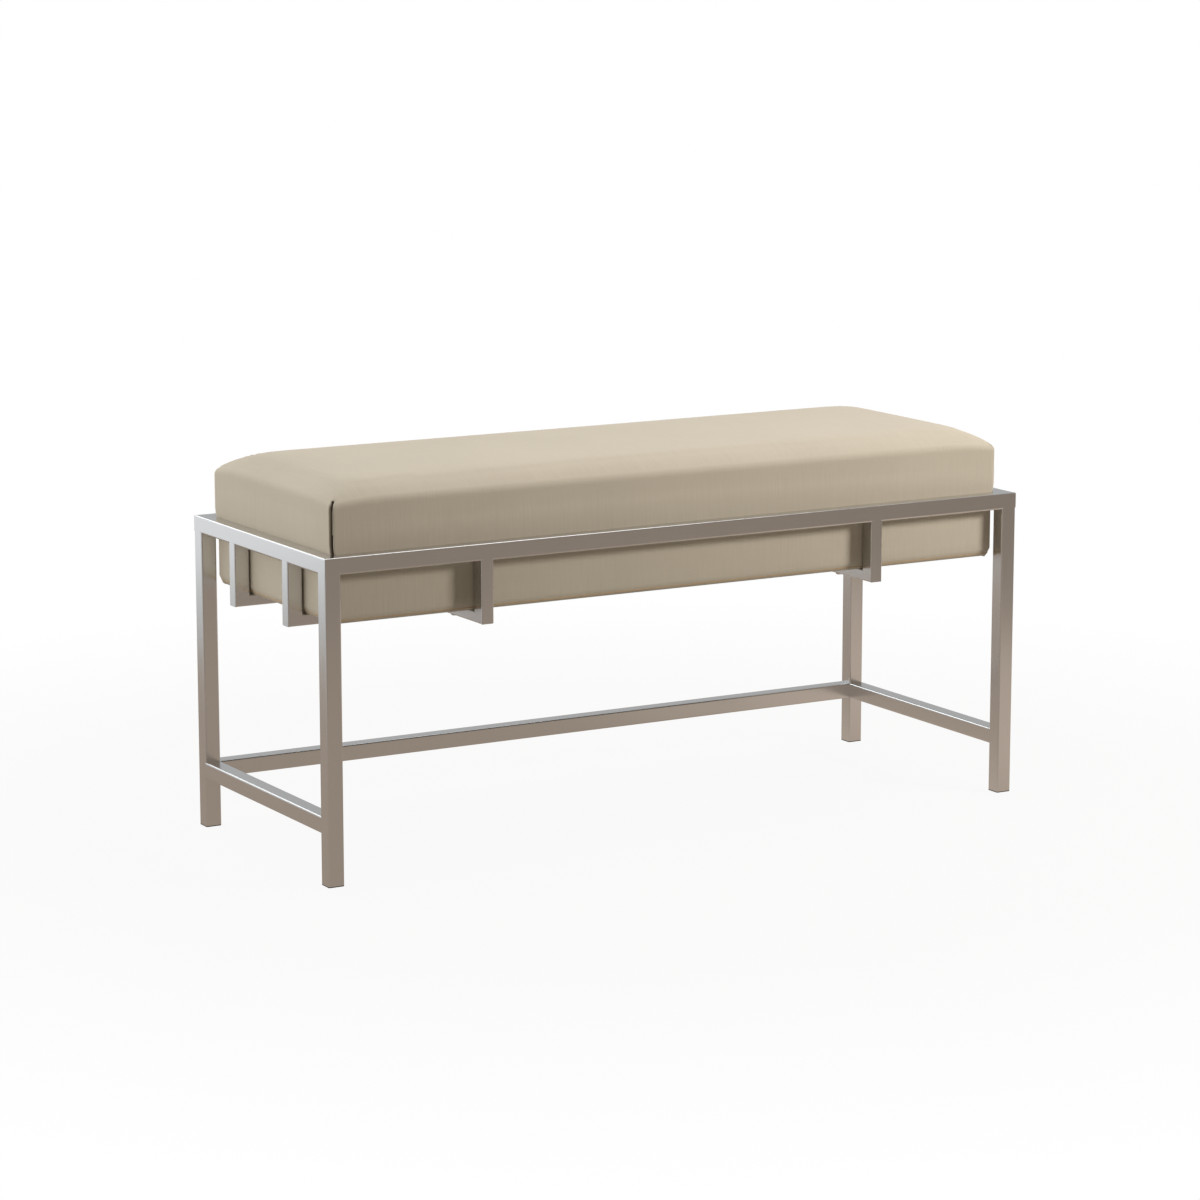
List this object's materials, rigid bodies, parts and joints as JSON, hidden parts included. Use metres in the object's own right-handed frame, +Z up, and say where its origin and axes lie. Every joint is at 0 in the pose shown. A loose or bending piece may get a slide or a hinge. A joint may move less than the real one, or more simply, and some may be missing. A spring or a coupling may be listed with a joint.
{
  "type": "hotel luggage bench",
  "caption": "Luggage bench: an upholstered seat box standing in a welded square-tube frame with side and rear stretchers and levelling feet.",
  "frame": {"origin": "on the floor under the middle of the bench, with the feet screwed in", "axes": "+X along the bench to its right end, -Y to the open front, +Z up"},
  "size_m": [1.2, 0.446, 0.586],
  "materials": {
    "frame_metal": "satin nickel plate, fine brushed",
    "seat_fabric": "smooth fine-woven upholstery, beige",
    "foam": "open-cell polyurethane foam",
    "lining": "black non-woven dust cover",
    "plywood": "sanded birch plywood",
    "zinc_steel": "zinc plated",
    "foot_plastic": "black nylon"
  },
  "bodies": {
    "bench": {"leg_front_left": "frame_metal", "leg_front_right": "frame_metal", "leg_rear_left": "frame_metal", "leg_rear_right": "frame_metal", "rail_front": "frame_metal", "rail_rear": "frame_metal", "rail_left": "frame_metal", "rail_right": "frame_metal", "stretcher_left": "frame_metal", "stretcher_right": "frame_metal", "stretcher_rear": "frame_metal", "strap_left": "frame_metal", "strap_right": "frame_metal", "strap_drop_front_left": "frame_metal", "strap_drop_front_right": "frame_metal", "strap_drop_rear_left": "frame_metal", "strap_drop_rear_right": "frame_metal", "end_drop_left_front": "frame_metal", "end_drop_left_rear": "frame_metal", "end_drop_right_front": "frame_metal", "end_drop_right_rear": "frame_metal", "end_bar_left_front": "frame_metal", "end_bar_left_rear": "frame_metal", "end_bar_right_front": "frame_metal", "end_bar_right_rear": "frame_metal", "seat_cover": "seat_fabric", "seat_foam": "foam", "dust_cover": "lining", "seat_deck": "plywood", "box_board_front": "plywood", "box_board_rear": "plywood", "box_board_left": "plywood", "box_board_right": "plywood", "box_rib_left": "plywood", "box_rib_right": "plywood", "corner_block_front_left": "plywood", "corner_block_front_right": "plywood", "corner_block_rear_left": "plywood", "corner_block_rear_right": "plywood", "seat_screw_front_left": "zinc_steel", "seat_screw_front_right": "zinc_steel", "seat_screw_rear_left": "zinc_steel", "seat_screw_rear_right": "zinc_steel", "foot_insert_front_left": "foot_plastic", "foot_insert_front_right": "foot_plastic", "foot_insert_rear_left": "foot_plastic", "foot_insert_rear_right": "foot_plastic"},
    "pad_front_left": {"foot_pad_front_left": "foot_plastic"},
    "stud_front_left": {"foot_stud_front_left": "zinc_steel"},
    "pad_front_right": {"foot_pad_front_right": "foot_plastic"},
    "stud_front_right": {"foot_stud_front_right": "zinc_steel"},
    "pad_rear_left": {"foot_pad_rear_left": "foot_plastic"},
    "stud_rear_left": {"foot_stud_rear_left": "zinc_steel"},
    "pad_rear_right": {"foot_pad_rear_right": "foot_plastic"},
    "stud_rear_right": {"foot_stud_rear_right": "zinc_steel"}
  },
  "joints": [
    {"name": "foot_height_front_left", "type": "slide", "parent": "bench", "child": "pad_front_left", "axis": [0, 0, -1], "range_m": [0, 0.01]},
    {"name": "foot_screw_front_left", "type": "hinge", "parent": "pad_front_left", "child": "stud_front_left", "pos_m": [-0.5875, -0.2105, 0.01], "axis": [0, 0, -1], "range_deg": [0, 2880]},
    {"name": "foot_height_front_right", "type": "slide", "parent": "bench", "child": "pad_front_right", "axis": [0, 0, -1], "range_m": [0, 0.01]},
    {"name": "foot_screw_front_right", "type": "hinge", "parent": "pad_front_right", "child": "stud_front_right", "pos_m": [0.5875, -0.2105, 0.01], "axis": [0, 0, -1], "range_deg": [0, 2880]},
    {"name": "foot_height_rear_left", "type": "slide", "parent": "bench", "child": "pad_rear_left", "axis": [0, 0, -1], "range_m": [0, 0.01]},
    {"name": "foot_screw_rear_left", "type": "hinge", "parent": "pad_rear_left", "child": "stud_rear_left", "pos_m": [-0.5875, 0.2105, 0.01], "axis": [0, 0, -1], "range_deg": [0, 2880]},
    {"name": "foot_height_rear_right", "type": "slide", "parent": "bench", "child": "pad_rear_right", "axis": [0, 0, -1], "range_m": [0, 0.01]},
    {"name": "foot_screw_rear_right", "type": "hinge", "parent": "pad_rear_right", "child": "stud_rear_right", "pos_m": [0.5875, 0.2105, 0.01], "axis": [0, 0, -1], "range_deg": [0, 2880]}
  ],
  "couplings": [
    {"joint": "foot_height_front_left", "follows": "foot_screw_front_left", "m_per_rad": 0.00019894},
    {"joint": "foot_height_front_right", "follows": "foot_screw_front_right", "m_per_rad": 0.00019894},
    {"joint": "foot_height_rear_left", "follows": "foot_screw_rear_left", "m_per_rad": 0.00019894},
    {"joint": "foot_height_rear_right", "follows": "foot_screw_rear_right", "m_per_rad": 0.00019894}
  ]
}
